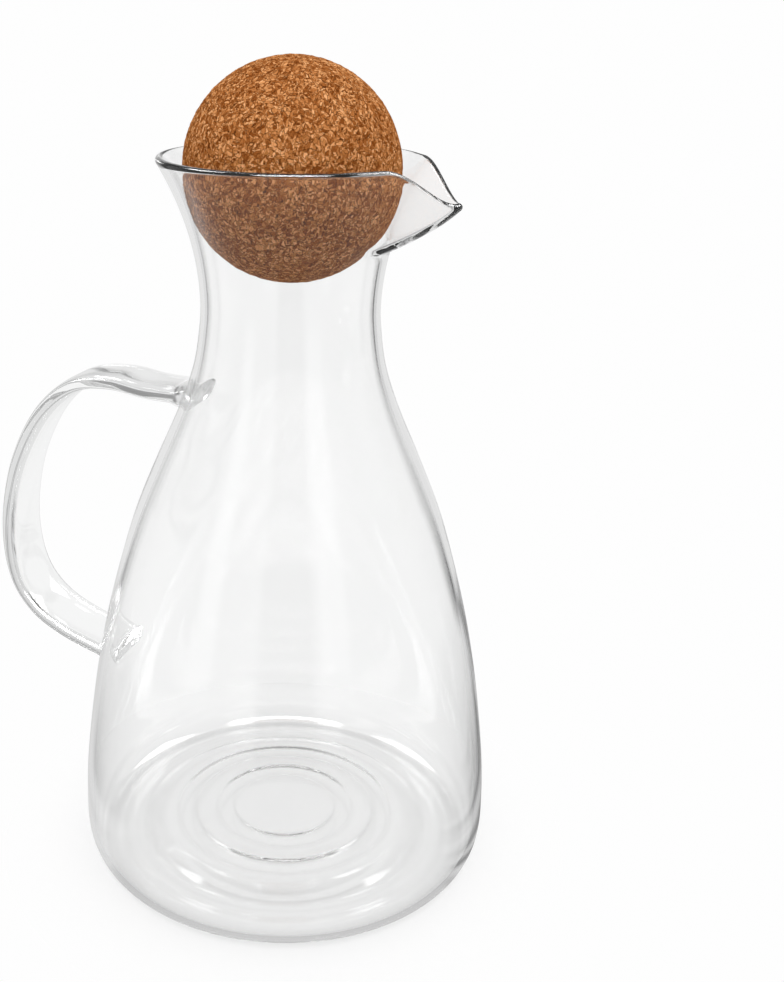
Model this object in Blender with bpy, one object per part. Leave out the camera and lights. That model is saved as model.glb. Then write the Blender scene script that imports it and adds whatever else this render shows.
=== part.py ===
"""Blown-glass water jug with a pouring lip, a fused strap handle and a cork ball for a lid.

The jug stands on Z = 0 with its axis on Z. The lip points along +X and the handle along -X.
Three pieces make it up: the glass body, the solid glass handle that is fused on to it, and
the cork ball, which rests in the flared mouth by its own weight and lifts straight out.
All sizes are in metres.
"""

import math

import bmesh
import bpy
from mathutils import Vector

# Body: outer surface
BODY_RADIUS = 0.0700
BASE_RADIUS = 0.0640
HEEL_HEIGHT = 0.0120
NECK_RADIUS = 0.0278
NECK_HEIGHT = 0.1880
RIM_RADIUS = 0.0405
RIM_HEIGHT = 0.2340
# How sharply the flare opens towards the rim, 1 being a straight cone
FLARE_CURVE = 2.12
# How the body draws in between heel and neck: share of that height, share of that radius
SHOULDER_SHARES = (
    (0.000, 1.000),
    (0.100, 0.984),
    (0.210, 0.930),
    (0.320, 0.858),
    (0.430, 0.762),
    (0.530, 0.652),
    (0.630, 0.522),
    (0.730, 0.352),
    (0.830, 0.168),
    (0.915, 0.050),
    (1.000, 0.000),
)

# Body: glass thickness
WALL = 0.0024
DOME_HEIGHT = 0.0053
# The inner floor from its rim to its middle, a low dome with pressed rings: share of the
# floor's radius, share of the dome's height
FLOOR_SHARES = (
    (0.922, 0.072),
    (0.860, 0.270),
    (0.797, 0.240),
    (0.727, 0.580),
    (0.657, 0.865),
    (0.606, 0.845),
    (0.585, 0.715),
    (0.539, 0.690),
    (0.503, 0.790),
    (0.484, 0.915),
    (0.434, 1.000),
    (0.389, 0.950),
    (0.370, 0.843),
    (0.325, 0.825),
    (0.289, 0.875),
    (0.271, 0.980),
    (0.203, 1.010),
    (0.094, 0.990),
)

# Pouring lip
SPOUT_REACH = 0.0521
SPOUT_DROP = 0.0107
SPOUT_TIP_RADIUS = 0.0032
SPOUT_ROOT_HEIGHT = 0.2092
SPOUT_DROOP_START_SHARE = 0.875

# Handle: a solid strap, flat and wide, whose ends swell into pads where they meet the body
HANDLE_TOP_HEIGHT = 0.1587
HANDLE_BOTTOM_HEIGHT = 0.0598
HANDLE_STANDOFF = 0.0543
HANDLE_WIDTH = 0.0200
HANDLE_LOWER_WIDTH = 0.0225
HANDLE_THICKNESS = 0.0053
PAD_THICKNESS = 0.0080
PAD_LENGTH = 0.0040
# The strap's middle line from the top pad to the bottom pad: share of the standoff beyond
# the straight line between the pads, share of the height between them
HANDLE_PATH_SHARES = (
    (0.000, 1.000),
    (0.225, 1.001),
    (0.490, 1.016),
    (0.741, 0.988),
    (0.923, 0.866),
    (1.000, 0.662),
    (0.955, 0.435),
    (0.814, 0.246),
    (0.606, 0.126),
    (0.333, 0.052),
    (0.000, 0.000),
)
HANDLE_WIDENS_FROM_SHARE = 0.45
SECTION_SQUARENESS = 3.4

# Cork ball: how much wider than the neck's bore it is, which is what keeps it out
BALL_GRIP = 0.0075

# Space left between two pieces that touch
CLEARANCE = 0.0003

# How finely the curved surfaces are divided
HEEL_STEPS = 5
SHOULDER_STEPS = 15
FLARE_STEPS = 9
BEAD_STEPS = 4
TIP_SEGMENTS = 6
FLANK_SEGMENTS = 6
BACK_SEGMENTS = 30
TIP_HALF_ANGLE = math.radians(8)
FLANK_END_ANGLE = math.radians(44)
HANDLE_STEPS = 30
SECTION_SIDES = 16
BALL_SEGMENTS = 36
BALL_RINGS = 18
SMOOTH_ANGLE = math.radians(40)

# Colours
GLASS_COLOUR = (0.96, 0.98, 0.97, 1)
GLASS_ROUGHNESS = 0.03
GLASS_IOR = 1.47
CORK_COLOUR = (0.42, 0.20, 0.085, 1)
CORK_ROUGHNESS = 0.75


def clear_scene():
    for obj in list(bpy.data.objects):
        bpy.data.objects.remove(obj, do_unlink=True)


def smooth_step(share):
    share = min(max(share, 0), 1)
    return share * share * (3 - 2 * share)


def curve_point(points, where):
    """The point at WHERE, from 0 to len(points) - 1, on a smooth curve through the points."""
    index = min(int(where), len(points) - 2)
    t = where - index
    before = points[max(index - 1, 0)]
    start = points[index]
    end = points[index + 1]
    after = points[min(index + 2, len(points) - 1)]
    result = []
    for a, b, c, d in zip(before, start, end, after):
        leave = (c - a) / 2
        arrive = (d - b) / 2
        bend = 3 * (c - b) - 2 * leave - arrive
        twist = 2 * (b - c) + leave + arrive
        result.append(b + t * (leave + t * (bend + t * twist)))
    return result


# Body profile


def heel_profile():
    """(radius, height) from the foot up to where the heel is widest."""
    rows = []
    for step in range(HEEL_STEPS + 1):
        angle = math.pi / 2 * step / HEEL_STEPS
        radius = BASE_RADIUS + (BODY_RADIUS - BASE_RADIUS) * math.sin(angle)
        rows.append((radius, HEEL_HEIGHT * (1 - math.cos(angle))))
    return rows


def shoulder_profile():
    """(radius, height) from above the heel up to the neck."""
    rows = []
    for step in range(1, SHOULDER_STEPS + 1):
        where = (len(SHOULDER_SHARES) - 1) * step / SHOULDER_STEPS
        height, radius = curve_point(SHOULDER_SHARES, where)
        rows.append(
            (
                NECK_RADIUS + (BODY_RADIUS - NECK_RADIUS) * radius,
                HEEL_HEIGHT + (NECK_HEIGHT - HEEL_HEIGHT) * height,
            )
        )
    return rows


def flare_profile():
    """(radius, height) from above the neck up to the rim."""
    rows = []
    for step in range(1, FLARE_STEPS + 1):
        share = step / FLARE_STEPS
        radius = NECK_RADIUS + (RIM_RADIUS - NECK_RADIUS) * share**FLARE_CURVE
        rows.append((radius, NECK_HEIGHT + (RIM_HEIGHT - NECK_HEIGHT) * share))
    return rows


def outer_profile():
    return heel_profile() + shoulder_profile() + flare_profile()


def offset_profile(profile, distance):
    """The profile moved out by a distance, square to itself."""
    rows = []
    for index, (radius, height) in enumerate(profile):
        low = profile[max(index - 1, 0)]
        high = profile[min(index + 1, len(profile) - 1)]
        along = Vector((high[0] - low[0], high[1] - low[1])).normalized()
        rows.append((radius + along.y * distance, height - along.x * distance))
    return rows


def radius_at(profile, height):
    """The profile's radius at a height, between its own points."""
    for low, high in zip(profile, profile[1:]):
        if low[1] <= height <= high[1]:
            share = (height - low[1]) / (high[1] - low[1])
            return low[0] + (high[0] - low[0]) * share
    return profile[-1][0]


# Pouring lip


def lip_radius(angle, circle, reach, tip):
    """Distance from the axis to a loop drawn tight round a circle and a small tip circle."""
    angle = abs(angle)
    centre = reach - tip
    touch = math.acos(min((circle - tip) / centre, 1))
    tip_edge = math.atan2(tip * math.sin(touch), centre + tip * math.cos(touch))
    if angle >= touch:
        return circle
    if angle >= tip_edge:
        return circle / math.cos(touch - angle)
    return centre * math.cos(angle) + math.sqrt(tip**2 - (centre * math.sin(angle)) ** 2)


def surface_point(radius, height, angle):
    """A point of the outer surface, with the lip pulled out and down near the rim."""
    share = (height - SPOUT_ROOT_HEIGHT) / (RIM_HEIGHT - SPOUT_ROOT_HEIGHT)
    if share <= 0:
        return Vector((radius * math.cos(angle), radius * math.sin(angle), height))
    pull = 1 - (1 - share) ** 2
    reach = radius + (SPOUT_REACH - RIM_RADIUS) * pull
    tip = radius + (SPOUT_TIP_RADIUS - radius) * math.sqrt(pull)
    lip = lip_radius(angle, radius, reach, tip)
    x = lip * math.cos(angle)
    start = SPOUT_DROOP_START_SHARE * radius
    droop = SPOUT_DROP * share * smooth_step((x - start) / (reach - start))
    return Vector((x, lip * math.sin(angle), height - droop))


def ring_angles():
    """The angles of a ring's points, closest together round the lip's tip."""
    stretches = (
        (-FLANK_END_ANGLE, -TIP_HALF_ANGLE, FLANK_SEGMENTS),
        (-TIP_HALF_ANGLE, TIP_HALF_ANGLE, TIP_SEGMENTS),
        (TIP_HALF_ANGLE, FLANK_END_ANGLE, FLANK_SEGMENTS),
        (FLANK_END_ANGLE, 2 * math.pi - FLANK_END_ANGLE, BACK_SEGMENTS),
    )
    angles = []
    for start, end, count in stretches:
        angles += [start + (end - start) * step / count for step in range(count)]
    return angles


def flat_ring(radius, height, angles):
    return [Vector((radius * math.cos(a), radius * math.sin(a), height)) for a in angles]


def outward_normals(rings, row):
    """The outward normal at each point of a ring, from its neighbours on all four sides."""
    ring = rings[row]
    low = rings[max(row - 1, 0)]
    high = rings[min(row + 1, len(rings) - 1)]
    normals = []
    for index in range(len(ring)):
        around = ring[(index + 1) % len(ring)] - ring[index - 1]
        up = high[index] - low[index]
        normals.append(around.cross(up).normalized())
    return normals


# Body mesh


def bead_rings(outer, inner, below):
    """Rings over the rim, from the outer surface's top round to the inner surface's."""
    rings = []
    for step in range(1, BEAD_STEPS):
        angle = math.pi * step / BEAD_STEPS
        ring = []
        for out_point, in_point, low_point in zip(outer, inner, below):
            middle = (out_point + in_point) / 2
            side = out_point - middle
            along = (out_point - low_point).normalized()
            crown = along * side.length
            ring.append(middle + side * math.cos(angle) + crown * math.sin(angle))
        rings.append(ring)
    return rings


def floor_rows():
    """(radius, height) of the inner floor, from inside the heel to the middle."""
    rows = []
    for radius, height in FLOOR_SHARES:
        rows.append((BASE_RADIUS * radius, WALL + DOME_HEIGHT * height))
    return rows


def body_rings():
    """All rings of the body, from the underside's edge over the rim to the inner floor."""
    angles = ring_angles()
    profile = outer_profile()
    outer = [
        [surface_point(radius, height, angle) for angle in angles]
        for radius, height in profile
    ]
    inner = []
    for row in range(len(outer)):
        normals = outward_normals(outer, row)
        inner.append([p - n * WALL for p, n in zip(outer[row], normals)])
    bead = bead_rings(outer[-1], inner[-1], outer[-2])
    low = [flat_ring(radius, height, angles) for radius, height in floor_rows()]
    return outer + bead + inner[::-1] + low


def closed_mesh(name, rings, bottom, top):
    """A mesh of rings joined one to the next, closed by a fan at each end."""
    mesh = bmesh.new()
    rows = [[mesh.verts.new(point) for point in ring] for ring in rings]
    ends = ((mesh.verts.new(bottom), rows[0]), (mesh.verts.new(top), rows[-1][::-1]))
    for centre, row in ends:
        for index in range(len(row)):
            mesh.faces.new((centre, row[index], row[index - 1]))
    for low, high in zip(rows, rows[1:]):
        for index in range(len(low)):
            mesh.faces.new((low[index - 1], low[index], high[index], high[index - 1]))
    bmesh.ops.recalc_face_normals(mesh, faces=mesh.faces)
    data = bpy.data.meshes.new(name)
    mesh.to_mesh(data)
    mesh.free()
    data.shade_smooth()
    data.set_sharp_from_angle(angle=SMOOTH_ANGLE)
    return data


def place(name, data, material):
    obj = bpy.data.objects.new(name, data)
    bpy.context.scene.collection.objects.link(obj)
    if material:
        obj.data.materials.append(material)
    return obj


def make_body(material):
    rings = body_rings()
    floor_middle = Vector((0, 0, WALL + DOME_HEIGHT * FLOOR_SHARES[-1][1]))
    data = closed_mesh("jug_body", rings, Vector((0, 0, 0)), floor_middle)
    return place("jug_body", data, material)


# Handle


def handle_path():
    """Points (distance from the axis, height) of the strap's middle line, from inside the
    upper wall to inside the lower wall."""
    profile = outer_profile()
    top = radius_at(profile, HANDLE_TOP_HEIGHT)
    bottom = radius_at(profile, HANDLE_BOTTOM_HEIGHT)
    points = []
    for out, up in HANDLE_PATH_SHARES:
        line = bottom + (top - bottom) * up
        height = HANDLE_BOTTOM_HEIGHT + (HANDLE_TOP_HEIGHT - HANDLE_BOTTOM_HEIGHT) * up
        points.append(Vector((line + HANDLE_STANDOFF * out, height)))
    path = []
    for step in range(HANDLE_STEPS + 1):
        where = (len(points) - 1) * step / HANDLE_STEPS
        path.append(Vector(curve_point(points, where)))
    # Each end runs on straight into the wall, so that the cut leaves a whole face
    overrun = PAD_THICKNESS
    first = path[0] + (path[0] - path[1]).normalized() * overrun
    last = path[-1] + (path[-1] - path[-2]).normalized() * overrun
    return [first] + path + [last]


def section_ring(centre, along, width, thickness):
    """One section of the strap: a flattened oval, square to the path."""
    out = Vector((-along.y, along.x))
    ring = []
    for side in range(SECTION_SIDES):
        angle = 2 * math.pi * side / SECTION_SIDES
        cosine = math.cos(angle)
        sine = math.sin(angle)
        power = 2 / SECTION_SQUARENESS
        across = math.copysign(abs(cosine) ** power, cosine) * width / 2
        through = math.copysign(abs(sine) ** power, sine) * thickness / 2
        ring.append(
            Vector((-(centre.x + out.x * through), across, centre.y + out.y * through))
        )
    return ring


def handle_rings():
    path = handle_path()
    lengths = [0]
    for start, end in zip(path, path[1:]):
        lengths.append(lengths[-1] + (end - start).length)
    overrun = lengths[1]
    whole = lengths[-1] - 2 * overrun
    rings = []
    for index, centre in enumerate(path):
        low = path[max(index - 1, 0)]
        high = path[min(index + 1, len(path) - 1)]
        travelled = min(max(lengths[index] - overrun, 0), whole)
        share = travelled / whole
        widening = (share - HANDLE_WIDENS_FROM_SHARE) / (1 - HANDLE_WIDENS_FROM_SHARE)
        width = HANDLE_WIDTH + (HANDLE_LOWER_WIDTH - HANDLE_WIDTH) * smooth_step(widening)
        from_pad = min(travelled, whole - travelled)
        swell = (1 - smooth_step(from_pad / PAD_LENGTH)) * (PAD_THICKNESS - HANDLE_THICKNESS)
        along = (high - low).normalized()
        rings.append(section_ring(centre, along, width, HANDLE_THICKNESS + swell))
    return rings


def make_wall_cutter():
    """The body's outer shape, grown by the clearance, that trims the handle's ends."""
    profile = offset_profile(outer_profile(), CLEARANCE)
    angles = ring_angles()
    rings = [flat_ring(radius, height, angles) for radius, height in profile]
    bottom = Vector((0, 0, profile[0][1]))
    top = Vector((0, 0, profile[-1][1]))
    cutter = place("wall_cutter", closed_mesh("wall_cutter", rings, bottom, top), None)
    cutter.hide_render = True
    cutter.display_type = "WIRE"
    return cutter


def make_handle(material):
    rings = handle_rings()
    ends = [sum(ring, Vector()) / len(ring) for ring in (rings[0], rings[-1])]
    handle = place("handle", closed_mesh("handle", rings, ends[0], ends[1]), material)
    trim = handle.modifiers.new("trim_to_wall", "BOOLEAN")
    trim.operation = "DIFFERENCE"
    trim.solver = "EXACT"
    trim.object = make_wall_cutter()
    return handle


# Cork ball


def ball_radius():
    return NECK_RADIUS - WALL + BALL_GRIP


def ball_height(radius):
    """Height of the ball's middle when it rests in the flare, the clearance away from it."""
    reach = radius + CLEARANCE
    resting = []
    for inner_radius, height in offset_profile(outer_profile(), -WALL):
        if height >= NECK_HEIGHT and inner_radius < reach:
            resting.append(height + math.sqrt(reach**2 - inner_radius**2))
    return max(resting)


def make_ball(material):
    """The ball's own origin is its middle, on the axis that it lifts along."""
    radius = ball_radius()
    mesh = bmesh.new()
    bmesh.ops.create_uvsphere(
        mesh, u_segments=BALL_SEGMENTS, v_segments=BALL_RINGS, radius=radius
    )
    data = bpy.data.meshes.new("cork_ball")
    mesh.to_mesh(data)
    mesh.free()
    data.shade_smooth()
    ball = place("cork_ball", data, material)
    ball.location = (0, 0, ball_height(radius))
    return ball


# Materials


def principled(name, colour, roughness):
    material = bpy.data.materials.new(name)
    material.use_nodes = True
    shader = material.node_tree.nodes["Principled BSDF"]
    shader.inputs["Base Color"].default_value = colour
    shader.inputs["Roughness"].default_value = roughness
    shader.inputs["Metallic"].default_value = 0
    material.diffuse_color = colour
    return material, shader


def glass(name):
    material, shader = principled(name, GLASS_COLOUR, GLASS_ROUGHNESS)
    shader.inputs["Transmission Weight"].default_value = 1
    shader.inputs["IOR"].default_value = GLASS_IOR
    return material


def cork(name):
    return principled(name, CORK_COLOUR, CORK_ROUGHNESS)[0]


def main():
    clear_scene()
    body = make_body(glass("body_glass"))
    handle = make_handle(glass("handle_glass"))
    handle.parent = body
    make_ball(cork("cork"))


main()
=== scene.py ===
import math

import bmesh
import bpy
from mathutils import Matrix, Vector, noise


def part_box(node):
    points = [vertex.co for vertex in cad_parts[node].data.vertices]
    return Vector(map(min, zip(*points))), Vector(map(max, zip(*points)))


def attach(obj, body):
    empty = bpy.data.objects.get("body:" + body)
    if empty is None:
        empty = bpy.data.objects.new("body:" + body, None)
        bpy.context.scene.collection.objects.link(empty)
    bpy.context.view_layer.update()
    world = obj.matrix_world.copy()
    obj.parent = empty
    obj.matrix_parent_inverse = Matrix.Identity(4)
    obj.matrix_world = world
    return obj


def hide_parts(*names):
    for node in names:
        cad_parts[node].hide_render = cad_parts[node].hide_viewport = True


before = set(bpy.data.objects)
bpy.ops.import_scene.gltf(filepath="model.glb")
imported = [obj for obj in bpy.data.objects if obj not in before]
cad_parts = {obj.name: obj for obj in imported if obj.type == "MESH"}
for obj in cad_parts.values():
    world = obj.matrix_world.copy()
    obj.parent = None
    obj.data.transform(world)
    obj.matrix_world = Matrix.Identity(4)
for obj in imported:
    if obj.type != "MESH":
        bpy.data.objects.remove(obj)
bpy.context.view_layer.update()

# Camera: it stands in front of the jug, to the lip's side, and looks down on it
CAMERA_DISTANCE = 0.3905
CAMERA_HEIGHT = 0.2830
CAMERA_AZIMUTH = math.radians(21.5)
CAMERA_PITCH = math.radians(21.578)
CAMERA_ROLL = math.radians(0.709)
CAMERA_LENS = 47.03
SENSOR_WIDTH = 36
CAMERA_SHIFT = (0.1056, 0.0007)
CAMERA_NEAREST = 0.01

# Body: outer surface
BODY_RADIUS = 0.0700
BASE_RADIUS = 0.0640
HEEL_HEIGHT = 0.0120
NECK_RADIUS = 0.0278
NECK_HEIGHT = 0.1880
RIM_RADIUS = 0.0405
RIM_HEIGHT = 0.2340
# How sharply the flare opens towards the rim, 1 being a straight cone
FLARE_CURVE = 2.12
# How the body draws in between heel and neck: share of that height, share of that radius
SHOULDER_SHARES = (
    (0.000, 1.000),
    (0.100, 0.984),
    (0.210, 0.930),
    (0.320, 0.858),
    (0.430, 0.762),
    (0.530, 0.652),
    (0.630, 0.522),
    (0.730, 0.352),
    (0.830, 0.168),
    (0.915, 0.050),
    (1.000, 0.000),
)

# Body: glass thickness
WALL = 0.0024
DOME_HEIGHT = 0.0053
# The inner floor from its rim to its middle, a low dome with pressed rings: share of the
# floor's radius, share of the dome's height
FLOOR_SHARES = (
    (0.922, 0.072),
    (0.860, 0.270),
    (0.797, 0.240),
    (0.727, 0.580),
    (0.657, 0.865),
    (0.606, 0.845),
    (0.585, 0.715),
    (0.539, 0.690),
    (0.503, 0.790),
    (0.484, 0.915),
    (0.434, 1.000),
    (0.389, 0.950),
    (0.370, 0.843),
    (0.325, 0.825),
    (0.289, 0.875),
    (0.271, 0.980),
    (0.203, 1.010),
    (0.094, 0.990),
)

# Pouring lip
SPOUT_REACH = 0.0521
SPOUT_DROP = 0.0107
SPOUT_TIP_RADIUS = 0.0032
SPOUT_ROOT_HEIGHT = 0.2092
SPOUT_DROOP_START_SHARE = 0.875

# Handle
HANDLE_TOP_HEIGHT = 0.1587
HANDLE_BOTTOM_HEIGHT = 0.0598
# A hair less than the part's own, so that the finer strap stays inside the part's box
HANDLE_STANDOFF = 0.0542
HANDLE_WIDTH = 0.0200
HANDLE_LOWER_WIDTH = 0.0225
HANDLE_THICKNESS = 0.0053
PAD_THICKNESS = 0.0080
PAD_LENGTH = 0.0040
HANDLE_PATH_SHARES = (
    (0.000, 1.000),
    (0.225, 1.001),
    (0.490, 1.016),
    (0.741, 0.988),
    (0.923, 0.866),
    (1.000, 0.662),
    (0.955, 0.435),
    (0.814, 0.246),
    (0.606, 0.126),
    (0.333, 0.052),
    (0.000, 0.000),
)
HANDLE_WIDENS_FROM_SHARE = 0.45
SECTION_SQUARENESS = 3.4
# How far short of the wall its two ends stop
JOINT_GAP = 0.0001

# Cork ball: its grains are sunk into the turned surface, the seams by this whole depth
GRAIN_SIZE = 0.0019
GRAIN_DEPTH = 0.00018
MIDDLE_GRAIN_SHARE = 0.55
# The grains' bend comes from noise with random offsets, and the seed fixes those for all runs
GRAIN_SEED = 1
GRAIN_BEND_SCALE = 0.4
GRAIN_BEND = 1.2
GRAIN_CELL_SCALE = 7.3
GRAIN_SEAM_SHARPNESS = 2.5

# How finely the surfaces are divided
HEEL_STEPS = 24
SHOULDER_STEPS = 200
FLARE_STEPS = 60
PROFILE_STEP = 0.0014
PROFILE_EASING = 6
UNDERSIDE_SHARES = (0.2, 0.5, 0.8, 0.92, 0.97)
FLOOR_STEPS = 216
FLOOR_STEP = 0.0003
FLOOR_EASING = 4
BEAD_STEPS = 12
TIP_HALF_ANGLE = math.radians(8)
FLANK_END_ANGLE = math.radians(44)
TIP_SEGMENTS = 20
FLANK_SEGMENTS = 30
BACK_SEGMENTS = 170
HANDLE_STEPS = 170
SECTION_SIDES = 56
CAP_RINGS = 5
WALL_SEARCH_STEPS = 40
BALL_DETAIL = 7

# Glass
GLASS_TINT = (0.986, 0.987, 0.986, 1)
HANDLE_TINT = (0.950, 0.953, 0.951, 1)
GLASS_IOR = 1.47
# What its shadow lets through, seen flat on and where it is seen on edge
GLASS_SHADE = (0.930, 0.932, 0.930, 1)
GLASS_EDGE_SHADE = (0.75, 0.75, 0.75, 1)
GLASS_EDGE = (0.55, 0.95)
# The slow ripple that blowing leaves
RIPPLE_SCALE = 45
RIPPLE_DEPTH = 0.00003

# Pressed cork: chips that lie every way in each patch, and are curled
MIDDLE_GREY = (0.5, 0.5, 0.5)
CURL_SCALE = 480
CURL_REACH = 0.0018
CHIP_PATCH_SCALE = 400
CHIP_STRETCH = (0.36, 1, 1)
CHIP_SCALE = 1350
SPECK_SCALE = 2600
CLOUD_SCALE = 90
CHIP_SHARE = 0.86
SPECK_SHARE = 0.68
CLOUD_SHARE = 0.30
DARKER_BY = 0.45
CORK_COLOURS = (
    (0.00, (0.190, 0.047, 0.007, 1)),
    (0.28, (0.360, 0.118, 0.029, 1)),
    (0.55, (0.540, 0.211, 0.067, 1)),
    (0.80, (0.730, 0.330, 0.127, 1)),
    (1.00, (0.900, 0.480, 0.225, 1)),
)
SEAM_WIDTH = 0.13
GAP_COLOUR = (0.075, 0.020, 0.004, 1)
GAP_EDGE = (0.50, 0.72)
GAP_CHIP_SHARE = 0.4
CHIP_RELIEF_SHARE = 0.5
CHIP_RELIEF_STRENGTH = 0.7
CHIP_RELIEF_DEPTH = 0.00025
CORK_ROUGHNESS = 0.9

# Floor
FLOOR_RADIUS = 2.0
FLOOR_SEGMENTS = 96
FLOOR_DROP = 0.0002
FLOOR_COLOUR = (0.92, 0.92, 0.92, 1)
# How much of the floor near the jug takes its shadow, and where that fades out
FLOOR_MATT_SHARE = 0.25
FADE_EDGE = (0.064, 0.100)
# Painted shadow, a darker floor colour on the ring where the jug's foot touches it: start, end,
# soft edge
PAINTED_FOOT_SHADOW = (0.30, 0.30, 0.30, 1)
PAINTED_FOOT_SHADOW_RING = (0.058, 0.068, 0.004)

# Lamp and light paths
LAMP_POSITION = (0.1, -0.1, 1.3)
LAMP_SIZE = 0.6
LAMP_POWER = 4.2
LIGHT_BOUNCES = 32
GLASS_BOUNCES = 28
SHADOW_BOUNCES = 24

# Studio that the glass mirrors and bends. A turn is in degrees away from the camera's side,
# to the left or the right, and a height in degrees over the horizon. An EDGE value holds the
# start and the end of a soft change, a BAND value a start, an end and the width of its edges.
# Below the horizon the floor glows with these levels where the glass shows it, as painted light
# and shade
STUDIO_CENTRE = 0.12
WHITE = 0.99
AMBIENT_LEVEL = 0.93
SIDES_EDGE = (-20, 20)
LEFT_LEVEL = 0.85
RIGHT_LEVEL = 0.70
FRONT_LEVEL = 0.50
FRONT_EDGE = (62, 90)
DARK_LEVEL = 0.05
DARK_EDGE = (15, 19)
NEAR_LEVEL = 0.42
NEAR_EDGE = (-24, -12)
BACK_LEVEL = 0.80
BACK_EDGE = (100, 135)
RIGHT_BACK_LEVEL = 0.76
MIDDLE_BACK_EDGE = (148, 158)
# Dark flags behind the jug, which draw the lines along its sides
LEFT_FLAG_LEVEL = 0.35
RIGHT_FLAG_LEVEL = 0.08
FLAG_TURN_BAND = (124, 140, 4)
FLAG_LOW_EDGE = (-26, -18)
FLAG_HIGH_EDGE = (35, 45)
HORIZON_LEVEL = 0.30
HORIZON_BAND = (6, 36, 10)
HORIZON_TURN_EDGE = (120, 150)
# Tall soft lights on either side of the camera
RIGHT_STRIP_LEVEL = 1.00
RIGHT_STRIP_BAND = (19, 42, 5)
LEFT_STRIP_LEVEL = 1.15
LEFT_STRIP_BAND = (42, 62, 6)
STRIP_LOW_EDGE = (-18, 4)
STRIP_HIGH_EDGE = (50, 60)
# Soft boxes high up, behind, at the sides and overhead
BACK_BOX_LEVEL = 7.0
BACK_BOX_TURN_BAND = (132, 150, 5)
BACK_BOX_HEIGHT_BAND = (56, 68, 4)
SIDE_BOX_LEVEL = 16.0
SIDE_BOX_TURN_BAND = (84, 124, 8)
SIDE_BOX_HEIGHT_BAND = (31, 62, 5)
TOP_LEVEL = 22.0
TOP_TILT = math.radians(27)
TOP_EDGE = (21, 27)
TOP_GAP_TURN_EDGE = (36, 40)
TOP_GAP_HEIGHT_EDGE = (46, 51)
STEEP_LEVEL = 0.66
STEEP_EDGE = (-66, -52)
# Painted shade on the floor, where the glass shows it: dark patches low down behind, one on each
# side, with paler upright lines in them. They are placed by how far sideways, up and to the front
# a direction of length 1 goes.
RIGHT_PATCH_LEVEL = 0.22
LEFT_PATCH_LEVEL = 0.66
PATCH_ACROSS_BAND = (0.38, 0.66, 0.03)
PATCH_UP_BAND = (-0.90, -0.37, 0.04)
PATCH_FRONT_EDGE = (0.2, 0.3)
LINES_ACROSS = 26
LINES_UP = 5
LINE_EDGE = (0.42, 0.62)
LINE_LEVEL = 0.75
LINE_STRENGTH = 0.8


def smooth_step(share):
    share = min(max(share, 0), 1)
    return share * share * (3 - 2 * share)


def curve_point(points, where):
    """The point at WHERE, from 0 to len(points) - 1, on a smooth curve through the points."""
    index = min(int(where), len(points) - 2)
    t = where - index
    before = points[max(index - 1, 0)]
    start = points[index]
    end = points[index + 1]
    after = points[min(index + 2, len(points) - 1)]
    result = []
    for a, b, c, d in zip(before, start, end, after):
        leave = (c - a) / 2
        arrive = (d - b) / 2
        bend = 3 * (c - b) - 2 * leave - arrive
        twist = 2 * (b - c) + leave + arrive
        result.append(b + t * (leave + t * (bend + t * twist)))
    return Vector(result)


def evenly(points, step):
    """Points along the line through POINTS, at even distances of about STEP."""
    lengths = [0]
    for start, end in zip(points, points[1:]):
        lengths.append(lengths[-1] + (end - start).length)
    count = max(round(lengths[-1] / step), 1)
    result = []
    index = 0
    for number in range(count + 1):
        target = lengths[-1] * number / count
        while index < len(points) - 2 and lengths[index + 1] < target:
            index += 1
        share = (target - lengths[index]) / (lengths[index + 1] - lengths[index])
        result.append(points[index].lerp(points[index + 1], share))
    return result


def eased(points, passes):
    """The line through POINTS with its bends made softer and its two ends kept."""
    for _ in range(passes):
        middle = [(a + 2 * b + c) / 4 for a, b, c in zip(points, points[1:], points[2:])]
        points = [points[0]] + middle + [points[-1]]
    return points


# Body profile: (radius, height) from the foot over the heel and the shoulder to the rim


def outer_profile():
    rows = []
    for step in range(HEEL_STEPS):
        angle = math.pi / 2 * step / HEEL_STEPS
        radius = BASE_RADIUS + (BODY_RADIUS - BASE_RADIUS) * math.sin(angle)
        rows.append(Vector((radius, HEEL_HEIGHT * (1 - math.cos(angle)))))
    for step in range(SHOULDER_STEPS):
        where = (len(SHOULDER_SHARES) - 1) * step / SHOULDER_STEPS
        up, out = curve_point(SHOULDER_SHARES, where)
        radius = NECK_RADIUS + (BODY_RADIUS - NECK_RADIUS) * out
        rows.append(Vector((radius, HEEL_HEIGHT + (NECK_HEIGHT - HEEL_HEIGHT) * up)))
    for step in range(FLARE_STEPS + 1):
        share = step / FLARE_STEPS
        radius = NECK_RADIUS + (RIM_RADIUS - NECK_RADIUS) * share**FLARE_CURVE
        rows.append(Vector((radius, NECK_HEIGHT + (RIM_HEIGHT - NECK_HEIGHT) * share)))
    return eased(evenly(rows, PROFILE_STEP), PROFILE_EASING)


def offset_profile(profile, distance):
    """The profile moved out by a distance, square to itself."""
    rows = []
    for index, point in enumerate(profile):
        low = profile[max(index - 1, 0)]
        high = profile[min(index + 1, len(profile) - 1)]
        along = (high - low).normalized()
        rows.append(point + Vector((along.y, -along.x)) * distance)
    return rows


def radius_at(profile, height):
    """The profile's radius at a height, between its own points."""
    for low, high in zip(profile, profile[1:]):
        if low.y <= height <= high.y:
            return low.lerp(high, (height - low.y) / (high.y - low.y)).x
    return profile[-1].x


# Pouring lip


def lip_radius(angle, circle, reach, tip):
    """Distance from the axis to a loop drawn tight round a circle and a small tip circle."""
    angle = abs(angle)
    centre = reach - tip
    touch = math.acos(min((circle - tip) / centre, 1))
    tip_edge = math.atan2(tip * math.sin(touch), centre + tip * math.cos(touch))
    if angle >= touch:
        return circle
    if angle >= tip_edge:
        return circle / math.cos(touch - angle)
    return centre * math.cos(angle) + math.sqrt(tip**2 - (centre * math.sin(angle)) ** 2)


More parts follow.
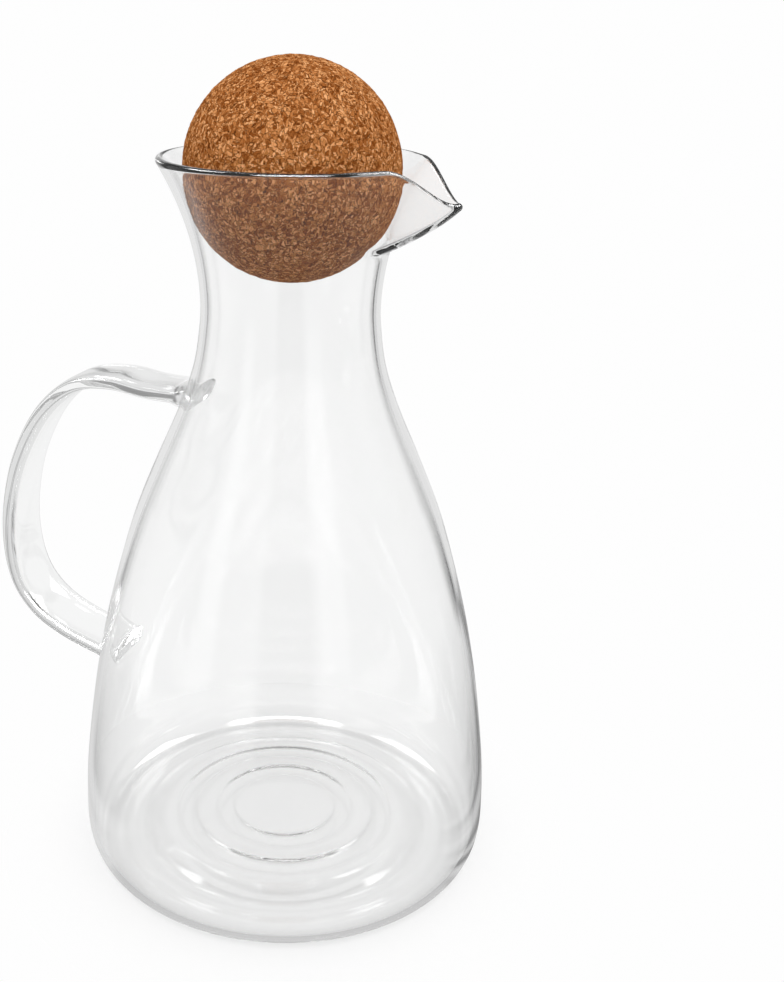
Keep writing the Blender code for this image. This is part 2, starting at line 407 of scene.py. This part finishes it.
def surface_point(radius, height, angle):
    """A point of the outer surface, with the lip pulled out and down near the rim."""
    share = (height - SPOUT_ROOT_HEIGHT) / (RIM_HEIGHT - SPOUT_ROOT_HEIGHT)
    if share <= 0:
        return Vector((radius * math.cos(angle), radius * math.sin(angle), height))
    pull = 1 - (1 - share) ** 2
    reach = radius + (SPOUT_REACH - RIM_RADIUS) * pull
    tip = radius + (SPOUT_TIP_RADIUS - radius) * math.sqrt(pull)
    lip = lip_radius(angle, radius, reach, tip)
    x = lip * math.cos(angle)
    start = SPOUT_DROOP_START_SHARE * radius
    droop = SPOUT_DROP * share * smooth_step((x - start) / (reach - start))
    return Vector((x, lip * math.sin(angle), height - droop))


def ring_angles():
    """The angles of a ring's points, closest together round the lip's tip."""
    stretches = (
        (-FLANK_END_ANGLE, -TIP_HALF_ANGLE, FLANK_SEGMENTS),
        (-TIP_HALF_ANGLE, TIP_HALF_ANGLE, TIP_SEGMENTS),
        (TIP_HALF_ANGLE, FLANK_END_ANGLE, FLANK_SEGMENTS),
        (FLANK_END_ANGLE, 2 * math.pi - FLANK_END_ANGLE, BACK_SEGMENTS),
    )
    angles = []
    for start, end, count in stretches:
        angles += [start + (end - start) * step / count for step in range(count)]
    return angles


def flat_ring(radius, height, angles):
    return [Vector((radius * math.cos(a), radius * math.sin(a), height)) for a in angles]


def outward_normals(rings, row):
    """The outward normal at each point of a ring, from its neighbours on all four sides."""
    ring = rings[row]
    low = rings[max(row - 1, 0)]
    high = rings[min(row + 1, len(rings) - 1)]
    normals = []
    for index in range(len(ring)):
        around = ring[(index + 1) % len(ring)] - ring[index - 1]
        up = high[index] - low[index]
        normals.append(around.cross(up).normalized())
    return normals


# Body mesh


def bead_rings(outer, inner, below):
    """Rings over the rim, from the outer surface's top round to the inner surface's."""
    rings = []
    for step in range(1, BEAD_STEPS):
        angle = math.pi * step / BEAD_STEPS
        ring = []
        for out_point, in_point, low_point in zip(outer, inner, below):
            middle = (out_point + in_point) / 2
            side = out_point - middle
            along = (out_point - low_point).normalized()
            crown = along * side.length
            ring.append(middle + side * math.cos(angle) + crown * math.sin(angle))
        rings.append(ring)
    return rings


def floor_rows():
    """(radius, height) of the inner floor with its rings, from inside the heel to the middle."""
    points = [(1, 0)] + list(FLOOR_SHARES)
    rows = []
    for step in range(1, FLOOR_STEPS + 1):
        radius, height = curve_point(points, (len(points) - 1) * step / FLOOR_STEPS)
        rows.append(Vector((BASE_RADIUS * radius, WALL + DOME_HEIGHT * height)))
    return rows


def low_inner_rows(profile):
    """(radius, height) of the inside below the waist, down round the heel to the middle."""
    wall = [p for p in offset_profile(profile, -WALL)[1:] if p.y < HEEL_HEIGHT]
    rows = evenly(wall[::-1] + floor_rows(), FLOOR_STEP)
    return eased(rows, FLOOR_EASING)


def body_rings():
    """All rings of the body, from the underside over the rim to the inner floor."""
    angles = ring_angles()
    profile = outer_profile()
    outer = [[surface_point(p.x, p.y, angle) for angle in angles] for p in profile]
    low = [flat_ring(p.x, p.y, angles) for p in low_inner_rows(profile)]
    inner = []
    for row in range(len(outer)):
        normals = outward_normals(outer, row)
        ring = [p - n * WALL for p, n in zip(outer[row], normals)]
        if ring[0].z > low[0][0].z + PROFILE_STEP / 2:
            inner.append(ring)
    bead = bead_rings(outer[-1], inner[-1], outer[-2])
    base = [flat_ring(BASE_RADIUS * share, 0, angles) for share in UNDERSIDE_SHARES]
    return base + outer + bead + inner[::-1] + low


def closed_mesh(name, rings, bottom, top):
    """A mesh of rings joined one to the next, closed by a fan at each end."""
    mesh = bmesh.new()
    rows = [[mesh.verts.new(point) for point in ring] for ring in rings]
    ends = ((mesh.verts.new(bottom), rows[0]), (mesh.verts.new(top), rows[-1][::-1]))
    for centre, row in ends:
        for index in range(len(row)):
            mesh.faces.new((centre, row[index], row[index - 1]))
    for low, high in zip(rows, rows[1:]):
        for index in range(len(low)):
            mesh.faces.new((low[index - 1], low[index], high[index], high[index - 1]))
    bmesh.ops.recalc_face_normals(mesh, faces=mesh.faces)
    data = bpy.data.meshes.new(name)
    mesh.to_mesh(data)
    mesh.free()
    data.shade_smooth()
    return data


def place(name, data, material):
    piece = bpy.data.objects.new(name, data)
    bpy.context.scene.collection.objects.link(piece)
    piece.data.materials.append(material)
    return piece


def make_body(material):
    rings = body_rings()
    floor_middle = Vector((0, 0, WALL + DOME_HEIGHT * FLOOR_SHARES[-1][1]))
    data = closed_mesh("glass_body", rings, Vector((0, 0, 0)), floor_middle)
    piece = place("glass_body", data, material)
    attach(piece, "jug")
    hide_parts("jug_body")
    return piece


# Handle


def handle_path(profile):
    """Points (distance from the axis, height) of the strap's middle line, from pad to pad."""
    top = radius_at(profile, HANDLE_TOP_HEIGHT)
    bottom = radius_at(profile, HANDLE_BOTTOM_HEIGHT)
    points = []
    for out, up in HANDLE_PATH_SHARES:
        line = bottom + (top - bottom) * up
        height = HANDLE_BOTTOM_HEIGHT + (HANDLE_TOP_HEIGHT - HANDLE_BOTTOM_HEIGHT) * up
        points.append((line + HANDLE_STANDOFF * out, height))
    path = []
    for step in range(HANDLE_STEPS + 1):
        path.append(curve_point(points, (len(points) - 1) * step / HANDLE_STEPS))
    return eased(path, PROFILE_EASING)


def section_ring(centre, along, width, thickness):
    """One section of the strap: a flat bar with well rounded corners, square to the path."""
    out = Vector((-along.y, along.x))
    ring = []
    for side in range(SECTION_SIDES):
        angle = 2 * math.pi * side / SECTION_SIDES
        cosine = math.cos(angle)
        sine = math.sin(angle)
        power = 2 / SECTION_SQUARENESS
        across = math.copysign(abs(cosine) ** power, cosine) * width / 2
        through = math.copysign(abs(sine) ** power, sine) * thickness / 2
        ring.append(
            Vector((-(centre.x + out.x * through), across, centre.y + out.y * through))
        )
    return ring


def wall_distance(profile, point):
    """How far a point lies outside the body, measured level."""
    return math.hypot(point.x, point.y) - radius_at(profile, point.z)


def way_to_wall(profile, point, direction):
    """How far a point has to move to lie on the wall, less the gap of the joint."""
    near = -2 * PAD_THICKNESS
    far = 2 * PAD_THICKNESS
    for _ in range(WALL_SEARCH_STEPS):
        middle = (near + far) / 2
        if wall_distance(profile, point + direction * middle) > JOINT_GAP:
            near = middle
        else:
            far = middle
    return near


def handle_rings(profile):
    """Rings of the strap. Near each end they lean over until the last lies on the wall."""
    path = handle_path(profile)
    lengths = [0]
    for start, end in zip(path, path[1:]):
        lengths.append(lengths[-1] + (end - start).length)
    whole = lengths[-1]
    rings = []
    for index, centre in enumerate(path):
        low = path[max(index - 1, 0)]
        high = path[min(index + 1, len(path) - 1)]
        share = lengths[index] / whole
        widening = (share - HANDLE_WIDENS_FROM_SHARE) / (1 - HANDLE_WIDENS_FROM_SHARE)
        width = HANDLE_WIDTH + (HANDLE_LOWER_WIDTH - HANDLE_WIDTH) * smooth_step(widening)
        from_pad = min(lengths[index], whole - lengths[index])
        swell = (1 - smooth_step(from_pad / PAD_LENGTH)) * (PAD_THICKNESS - HANDLE_THICKNESS)
        along = (high - low).normalized()
        rings.append(section_ring(centre, along, width, HANDLE_THICKNESS + swell))
    lean_length = 2 * PAD_LENGTH
    for end, step in ((0, 1), (len(path) - 1, -1)):
        run = path[end] - path[end + step]
        direction = Vector((-run.x, 0, run.y)).normalized()
        ways = [way_to_wall(profile, point, direction) for point in rings[end]]
        index = end
        while abs(lengths[index] - lengths[end]) < lean_length:
            lean = 1 - smooth_step(abs(lengths[index] - lengths[end]) / lean_length)
            rings[index] = [p + direction * way * lean for p, way in zip(rings[index], ways)]
            index += step
    return rings


def cap_rings(profile, ring, inward):
    """Rings that close an end of the strap along the wall, and their middle point."""
    centre = sum(ring, Vector()) / len(ring)
    rings = []
    for step in range(1, CAP_RINGS + 1):
        share = 1 - step / CAP_RINGS
        points = [centre.lerp(point, share) for point in ring]
        rings.append([p + inward * way_to_wall(profile, p, inward) for p in points])
    return rings[:-1], rings[-1][0]


def make_handle(material):
    profile = outer_profile()
    path = handle_path(profile)
    rings = handle_rings(profile)
    top_run = path[0] - path[1]
    bottom_run = path[-1] - path[-2]
    top_inward = Vector((-top_run.x, 0, top_run.y)).normalized()
    bottom_inward = Vector((-bottom_run.x, 0, bottom_run.y)).normalized()
    top, top_middle = cap_rings(profile, rings[0], top_inward)
    bottom, bottom_middle = cap_rings(profile, rings[-1], bottom_inward)
    rings = top[::-1] + rings + bottom
    data = closed_mesh("glass_handle", rings, top_middle, bottom_middle)
    piece = place("glass_handle", data, material)
    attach(piece, "jug")
    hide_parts("handle")
    return piece


# Cork ball


def grain_relief(point):
    """How far the surface is sunk at a point, from 0 to 1: each grain stands at its own
    height over or under a middle one, with a seam at full depth between it and the next."""
    where = point / GRAIN_SIZE
    where += noise.noise_vector(where * GRAIN_BEND_SCALE) * GRAIN_BEND
    distances, points = noise.voronoi(where)
    height = noise.cell(points[0] * GRAIN_CELL_SCALE)
    seam = smooth_step((distances[1] - distances[0]) * GRAIN_SEAM_SHARPNESS)
    return 1 - seam * (MIDDLE_GRAIN_SHARE + (1 - MIDDLE_GRAIN_SHARE) * height)


def make_ball(material):
    low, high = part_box("cork_ball")
    centre = (Vector(low) + Vector(high)) / 2
    radius = (high[2] - low[2]) / 2
    noise.seed_set(GRAIN_SEED)
    mesh = bmesh.new()
    bmesh.ops.create_icosphere(mesh, subdivisions=BALL_DETAIL, radius=radius)
    for vert in mesh.verts:
        vert.co -= vert.co.normalized() * GRAIN_DEPTH * grain_relief(vert.co)
    data = bpy.data.meshes.new("cork")
    mesh.to_mesh(data)
    mesh.free()
    data.shade_smooth()
    piece = place("cork", data, material)
    piece.location = centre
    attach(piece, "stopper")
    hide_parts("cork_ball")
    return piece


# Shader nodes


class Wire:
    """What a node sends out. Sums on wires add the Math nodes that work them out."""

    def __init__(self, nodes, socket):
        self.nodes = nodes
        self.socket = socket

    def out(self, name):
        """Another output of the same node."""
        return Wire(self.nodes, self.socket.node.outputs[name])

    def maths(self, operation, *values):
        settings = {"operation": operation}
        return self.nodes.add("ShaderNodeMath", settings, dict(enumerate(values)))

    def __add__(self, other):
        return self.maths("ADD", self, other)

    def __radd__(self, other):
        return self.maths("ADD", other, self)

    def __sub__(self, other):
        return self.maths("SUBTRACT", self, other)

    def __rsub__(self, other):
        return self.maths("SUBTRACT", other, self)

    def __mul__(self, other):
        return self.maths("MULTIPLY", self, other)

    def __rmul__(self, other):
        return self.maths("MULTIPLY", other, self)

    def __abs__(self):
        return self.maths("ABSOLUTE", self)


class Nodes:
    """Adds nodes to one material's or world's tree."""

    def __init__(self, tree):
        self.tree = tree
        tree.nodes.clear()

    def add(self, kind, settings=None, sockets=None, output=0):
        """A node of a kind, its settings made first and then its sockets filled."""
        node = self.tree.nodes.new(kind)
        for name, value in (settings or {}).items():
            if name == "stops":
                self.set_stops(node.color_ramp, value)
            else:
                setattr(node, name, value)
        for name, value in (sockets or {}).items():
            if isinstance(value, Wire):
                self.tree.links.new(value.socket, node.inputs[name])
            else:
                node.inputs[name].default_value = value
        return Wire(self, node.outputs[output]) if len(node.outputs) else node

    def set_stops(self, ramp, stops):
        while len(ramp.elements) < len(stops):
            ramp.elements.new(1)
        for element, (place_on_ramp, colour) in zip(ramp.elements, stops):
            element.position = place_on_ramp
            element.color = colour

    def rise(self, value, start, end):
        """0 below START, 1 above END, and smooth between them."""
        sockets = {"Value": value, "From Min": start, "From Max": end}
        return self.add("ShaderNodeMapRange", {"interpolation_type": "SMOOTHSTEP"}, sockets)

    def vector(self, operation, *values, output=0):
        settings = {"operation": operation}
        return self.add("ShaderNodeVectorMath", settings, dict(enumerate(values)), output)

    def scaled(self, value, scale):
        sockets = {0: value, "Scale": scale}
        return self.add("ShaderNodeVectorMath", {"operation": "SCALE"}, sockets)

    def mix(self, share, first, second):
        sockets = {0: share, 6: first, 7: second}
        return self.add("ShaderNodeMix", {"data_type": "RGBA"}, sockets, 2)


def new_material(name):
    material = bpy.data.materials.new(name)
    material.use_nodes = True
    return material, Nodes(material.node_tree)


def bumped(nodes, height, strength, depth):
    """The surface's normal with a relief of HEIGHT, from 0 to 1, that is DEPTH deep."""
    sockets = {"Height": height, "Strength": strength, "Distance": depth}
    return nodes.add("ShaderNodeBump", None, sockets)


def glass(name, tint):
    """Clear glass. It lets the lamp's light through, so that what stands in it is lit."""
    material, nodes = new_material(name)
    where = nodes.add("ShaderNodeTexCoord").out("Object")
    sockets = {"Vector": where, "Scale": RIPPLE_SCALE, "Detail": 1}
    ripple = nodes.add("ShaderNodeTexNoise", None, sockets)
    sockets = {
        "Base Color": tint,
        "Roughness": 0,
        "IOR": GLASS_IOR,
        "Transmission Weight": 1,
        "Normal": bumped(nodes, ripple, 1, RIPPLE_DEPTH),
    }
    shader = nodes.add("ShaderNodeBsdfPrincipled", None, sockets)
    facing = nodes.add("ShaderNodeLayerWeight").out("Facing")
    flat = nodes.add("ShaderNodeBsdfTransparent", None, {"Color": GLASS_SHADE})
    steep = nodes.add("ShaderNodeBsdfTransparent", None, {"Color": GLASS_EDGE_SHADE})
    sockets = {0: nodes.rise(facing, *GLASS_EDGE), 1: flat, 2: steep}
    shade = nodes.add("ShaderNodeMixShader", None, sockets)
    paths = nodes.add("ShaderNodeLightPath")
    sockets = {0: paths.out("Is Shadow Ray"), 1: shader, 2: shade}
    surface = nodes.add("ShaderNodeMixShader", None, sockets)
    nodes.add("ShaderNodeOutputMaterial", None, {"Surface": surface})
    return material


def curled_chips(nodes, where):
    """Places stretched and turned another way in each patch, so that cells on them are long
    curled chips that lie every way."""
    sockets = {"Vector": where, "Scale": CURL_SCALE, "Detail": 1}
    curl = nodes.add("ShaderNodeTexNoise", None, sockets)
    curl = nodes.vector("SUBTRACT", curl.out("Color"), MIDDLE_GREY)
    curled = nodes.vector("ADD", where, nodes.scaled(curl, CURL_REACH))
    patch = nodes.add("ShaderNodeTexVoronoi", None, {"Vector": curled, "Scale": CHIP_PATCH_SCALE})
    turn = nodes.scaled(patch.out("Color"), 2 * math.pi)
    settings = {"rotation_type": "EULER_XYZ"}
    sockets = {"Vector": curled, "Rotation": turn}
    turned = nodes.add("ShaderNodeVectorRotate", settings, sockets)
    return nodes.vector("MULTIPLY", turned, CHIP_STRETCH)


def cork_material():
    """Pressed cork: curled chips with dark seams between them, in clouds of tone."""
    material, nodes = new_material("pressed_cork")
    where = nodes.add("ShaderNodeTexCoord").out("Object")
    sockets = {"Vector": curled_chips(nodes, where), "Scale": CHIP_SCALE}
    chips = nodes.add("ShaderNodeTexVoronoi", None, sockets)
    edges = nodes.add("ShaderNodeTexVoronoi", {"feature": "DISTANCE_TO_EDGE"}, sockets)
    tone = nodes.add("ShaderNodeSeparateColor", None, {"Color": chips.out("Color")})
    sockets = {"Vector": where, "Scale": SPECK_SCALE, "Detail": 2}
    specks = nodes.add("ShaderNodeTexNoise", None, sockets)
    sockets = {"Vector": where, "Scale": CLOUD_SCALE, "Detail": 2}
    cloud = nodes.add("ShaderNodeTexNoise", None, sockets)
    shade = tone * CHIP_SHARE + specks * SPECK_SHARE + cloud * CLOUD_SHARE - DARKER_BY
    colour = nodes.add("ShaderNodeValToRGB", {"stops": CORK_COLOURS}, {0: shade})
    seam = 1 - nodes.rise(edges, 0, SEAM_WIDTH)
    gap = seam * nodes.rise(specks + tone.out("Green") * GAP_CHIP_SHARE, *GAP_EDGE)
    relief = (1 - seam) * (1 - CHIP_RELIEF_SHARE) + tone * CHIP_RELIEF_SHARE
    sockets = {
        "Base Color": nodes.mix(gap, colour, GAP_COLOUR),
        "Roughness": CORK_ROUGHNESS,
        "Specular IOR Level": 0,
        "Normal": bumped(nodes, relief, CHIP_RELIEF_STRENGTH, CHIP_RELIEF_DEPTH),
    }
    shader = nodes.add("ShaderNodeBsdfPrincipled", None, sockets)
    nodes.add("ShaderNodeOutputMaterial", None, {"Surface": shader})
    return material


# Studio


def straight_view(nodes):
    """1 for what the camera sees, also through glass, as long as nothing has been mirrored
    or lit on the way, and 0 for all other light."""
    paths = nodes.add("ShaderNodeLightPath")
    seen = paths.out("Is Camera Ray") + paths.out("Is Transmission Ray")
    bounces = paths.out("Diffuse Depth") + paths.out("Glossy Depth")
    return seen.maths("MINIMUM", seen, 1) * (1 - bounces.maths("MINIMUM", bounces, 1))


def band(nodes, value, start, end, soft):
    """1 between START and END, 0 outside them, over a soft edge inside."""
    return nodes.rise(value, start, start + soft) * (1 - nodes.rise(value, end - soft, end))


def painted(below, mask, above):
    """BELOW, with ABOVE painted over it as far as MASK says."""
    return below + mask * (above - below)


def upright_lines(nodes, to_right, up):
    """1 along upright lines of uneven width, and 0 between them."""
    sockets = {0: to_right * LINES_ACROSS, 1: up * LINES_UP, 2: 0}
    across = nodes.add("ShaderNodeCombineXYZ", None, sockets)
    sockets = {"Vector": across, "Scale": 1, "Detail": 1}
    return nodes.rise(nodes.add("ShaderNodeTexNoise", None, sockets), *LINE_EDGE)


def studio_level(nodes, where):
    """How bright the studio is, seen from the jug, in the direction WHERE: dim in front, with
    a tall soft light on either side of the camera, bright behind, soft boxes high up on both
    sides and overhead, and the pale table below."""
    front = (math.sin(CAMERA_AZIMUTH), -math.cos(CAMERA_AZIMUTH), 0)
    right = (math.cos(CAMERA_AZIMUTH), math.sin(CAMERA_AZIMUTH), 0)
    forward = math.sin(TOP_TILT)
    top = (front[0] * forward, front[1] * forward, math.cos(TOP_TILT))
    to_front = nodes.vector("DOT_PRODUCT", where, front, output="Value")
    to_right = nodes.vector("DOT_PRODUCT", where, right, output="Value")
    up = nodes.vector("DOT_PRODUCT", where, (0, 0, 1), output="Value")
    to_top = nodes.vector("DOT_PRODUCT", where, top, output="Value")
    around = to_right.maths("ARCTAN2", to_right, to_front) * math.degrees(1)
    turn = abs(around)
    height = up.maths("ARCSINE", up) * math.degrees(1)
    from_top = to_top.maths("ARCCOSINE", to_top) * math.degrees(1)
    on_right = nodes.rise(around, *SIDES_EDGE)

    side = painted(LEFT_LEVEL, on_right, RIGHT_LEVEL)
    level = painted(FRONT_LEVEL, nodes.rise(turn, *FRONT_EDGE), side)
    level = painted(DARK_LEVEL, nodes.rise(turn, *DARK_EDGE), level)
    level = painted(level, 1 - nodes.rise(height, *NEAR_EDGE), NEAR_LEVEL)
    right_back = on_right * (1 - nodes.rise(turn, *MIDDLE_BACK_EDGE))
    back = painted(BACK_LEVEL, right_back, RIGHT_BACK_LEVEL)
    level = painted(level, nodes.rise(turn, *BACK_EDGE), back)

    flag = band(nodes, turn, *FLAG_TURN_BAND) * nodes.rise(height, *FLAG_LOW_EDGE)
    flag = flag * (1 - nodes.rise(height, *FLAG_HIGH_EDGE))
    level = painted(level, flag, painted(LEFT_FLAG_LEVEL, on_right, RIGHT_FLAG_LEVEL))
    horizon = band(nodes, height, *HORIZON_BAND) * nodes.rise(turn, *HORIZON_TURN_EDGE)
    level = painted(level, horizon, HORIZON_LEVEL)

    tall = nodes.rise(height, *STRIP_LOW_EDGE) * (1 - nodes.rise(height, *STRIP_HIGH_EDGE))
    right_strip = band(nodes, around, *RIGHT_STRIP_BAND) * tall
    level = painted(level, right_strip, RIGHT_STRIP_LEVEL)
    left_strip = band(nodes, 0 - around, *LEFT_STRIP_BAND) * tall
    level = painted(level, left_strip, LEFT_STRIP_LEVEL)

    back_box = band(nodes, turn, *BACK_BOX_TURN_BAND)
    back_box = back_box * band(nodes, height, *BACK_BOX_HEIGHT_BAND)
    level = painted(level, back_box, BACK_BOX_LEVEL)
    side_box = band(nodes, turn, *SIDE_BOX_TURN_BAND)
    side_box = side_box * band(nodes, height, *SIDE_BOX_HEIGHT_BAND)
    level = painted(level, side_box, SIDE_BOX_LEVEL)
    gap = 1 - nodes.rise(turn, *TOP_GAP_TURN_EDGE)
    gap = gap * (1 - nodes.rise(height, *TOP_GAP_HEIGHT_EDGE))
    overhead = (1 - nodes.rise(from_top, *TOP_EDGE)) * (1 - gap)
    level = painted(level, overhead, TOP_LEVEL)
    level = painted(level, 1 - nodes.rise(height, *STEEP_EDGE), STEEP_LEVEL)

    patch = band(nodes, abs(to_right), *PATCH_ACROSS_BAND) * band(nodes, up, *PATCH_UP_BAND)
    patch = patch * (1 - nodes.rise(to_front, *PATCH_FRONT_EDGE))
    shade = painted(LEFT_PATCH_LEVEL, on_right, RIGHT_PATCH_LEVEL)
    lines = upright_lines(nodes, to_right, up) * LINE_STRENGTH
    return painted(level, patch, painted(shade, lines, LINE_LEVEL))


def make_world():
    """A white backdrop, round it the studio, and plain soft light for what is lit."""
    world = bpy.data.worlds.new("studio")
    world.use_nodes = True
    world.cycles.sampling_method = "NONE"
    bpy.context.scene.world = world
    nodes = Nodes(world.node_tree)
    level = studio_level(nodes, nodes.add("ShaderNodeTexCoord"))
    level = painted(level, straight_view(nodes), WHITE)
    lit = nodes.add("ShaderNodeLightPath").out("Diffuse Depth")
    level = painted(level, lit.maths("MINIMUM", lit, 1), AMBIENT_LEVEL)
    background = nodes.add("ShaderNodeBackground", None, {"Color": level})
    nodes.add("ShaderNodeOutputWorld", None, {"Surface": background})


def make_floor():
    """A pale floor that keeps the object's shadow near it, with a painted shadow at its foot, and
    runs out into plain white. Seen in the glass, it glows with painted light and shade.
    """
    material, nodes = new_material("floor")
    where = nodes.add("ShaderNodeTexCoord").out("Object")
    away = nodes.vector("LENGTH", where, output="Value")
    paths = nodes.add("ShaderNodeLightPath")
    seen = paths.out("Is Camera Ray") + paths.out("Is Glossy Ray")
    seen = seen + paths.out("Is Transmission Ray")
    seen = seen.maths("MINIMUM", seen, 1) * (1 - paths.out("Diffuse Depth"))
    straight = straight_view(nodes)
    share = 1 - straight * FLOOR_MATT_SHARE * (1 - nodes.rise(away, *FADE_EDGE))
    # Painted light and shade: where the glass shows the floor, it glows with the studio's levels
    # by the direction from the jug, in place of its lit colour
    from_jug = nodes.vector("SUBTRACT", where, (0, 0, STUDIO_CENTRE))
    level = studio_level(nodes, nodes.vector("NORMALIZE", from_jug))
    level = painted(level, straight, WHITE)
    matt = nodes.add("ShaderNodeBsdfDiffuse", None, {"Color": FLOOR_COLOUR})
    # Painted shadow: a darker matt colour mixed into the floor on a ring round the jug's foot
    painted_shadow_matt = nodes.add("ShaderNodeBsdfDiffuse", None, {"Color": PAINTED_FOOT_SHADOW})
    painted_shadow_ring = band(nodes, away, *PAINTED_FOOT_SHADOW_RING)
    matt = nodes.add("ShaderNodeMixShader", None, {0: painted_shadow_ring, 1: matt, 2: painted_shadow_matt})
    # The floor's glow: plain white straight on, and painted light and shade where the glass shows
    # it
    white = nodes.add("ShaderNodeEmission", None, {"Color": level})
    sockets = {0: seen * share, 1: matt, 2: white}
    surface = nodes.add("ShaderNodeMixShader", None, sockets)
    nodes.add("ShaderNodeOutputMaterial", None, {"Surface": surface})
    mesh = bmesh.new()
    bmesh.ops.create_circle(
        mesh, cap_ends=True, segments=FLOOR_SEGMENTS, radius=FLOOR_RADIUS
    )
    data = bpy.data.meshes.new("floor")
    mesh.to_mesh(data)
    mesh.free()
    floor = place("floor", data, material)
    floor.location.z = -FLOOR_DROP


def make_lamp():
    """A square soft light overhead that points at the middle of the jug."""
    light = bpy.data.lights.new("overhead", "AREA")
    light.size = LAMP_SIZE
    light.energy = LAMP_POWER
    lamp = bpy.data.objects.new("overhead", light)
    lamp.location = LAMP_POSITION
    aim = Vector((0, 0, RIM_HEIGHT / 2)) - lamp.location
    lamp.rotation_euler = aim.to_track_quat("-Z", "Y").to_euler()
    lamp.visible_camera = False
    lamp.visible_transmission = False
    bpy.context.scene.collection.objects.link(lamp)


def make_camera():
    data = bpy.data.cameras.new("camera")
    data.lens = CAMERA_LENS
    data.sensor_width = SENSOR_WIDTH
    data.shift_x, data.shift_y = CAMERA_SHIFT
    data.clip_start = CAMERA_NEAREST
    camera = bpy.data.objects.new("camera", data)
    position = Vector(
        (
            CAMERA_DISTANCE * math.sin(CAMERA_AZIMUTH),
            -CAMERA_DISTANCE * math.cos(CAMERA_AZIMUTH),
            CAMERA_HEIGHT,
        )
    )
    turn = Matrix.Rotation(CAMERA_AZIMUTH, 4, "Z")
    tilt = Matrix.Rotation(math.pi / 2 - CAMERA_PITCH, 4, "X")
    roll = Matrix.Rotation(CAMERA_ROLL, 4, "Z")
    camera.matrix_world = Matrix.Translation(position) @ turn @ tilt @ roll
    bpy.context.scene.collection.objects.link(camera)
    bpy.context.scene.camera = camera


def set_light_paths():
    """Enough bounces for light to find its way out of thick glass."""
    cycles = bpy.context.scene.cycles
    cycles.max_bounces = LIGHT_BOUNCES
    cycles.glossy_bounces = GLASS_BOUNCES
    cycles.transmission_bounces = GLASS_BOUNCES
    cycles.transparent_max_bounces = SHADOW_BOUNCES


def main():
    make_camera()
    make_world()
    make_floor()
    make_lamp()
    set_light_paths()
    bpy.context.scene.view_settings.view_transform = "Standard"
    make_body(glass("body_glass", GLASS_TINT))
    make_handle(glass("handle_glass", HANDLE_TINT))
    make_ball(cork_material())


main()
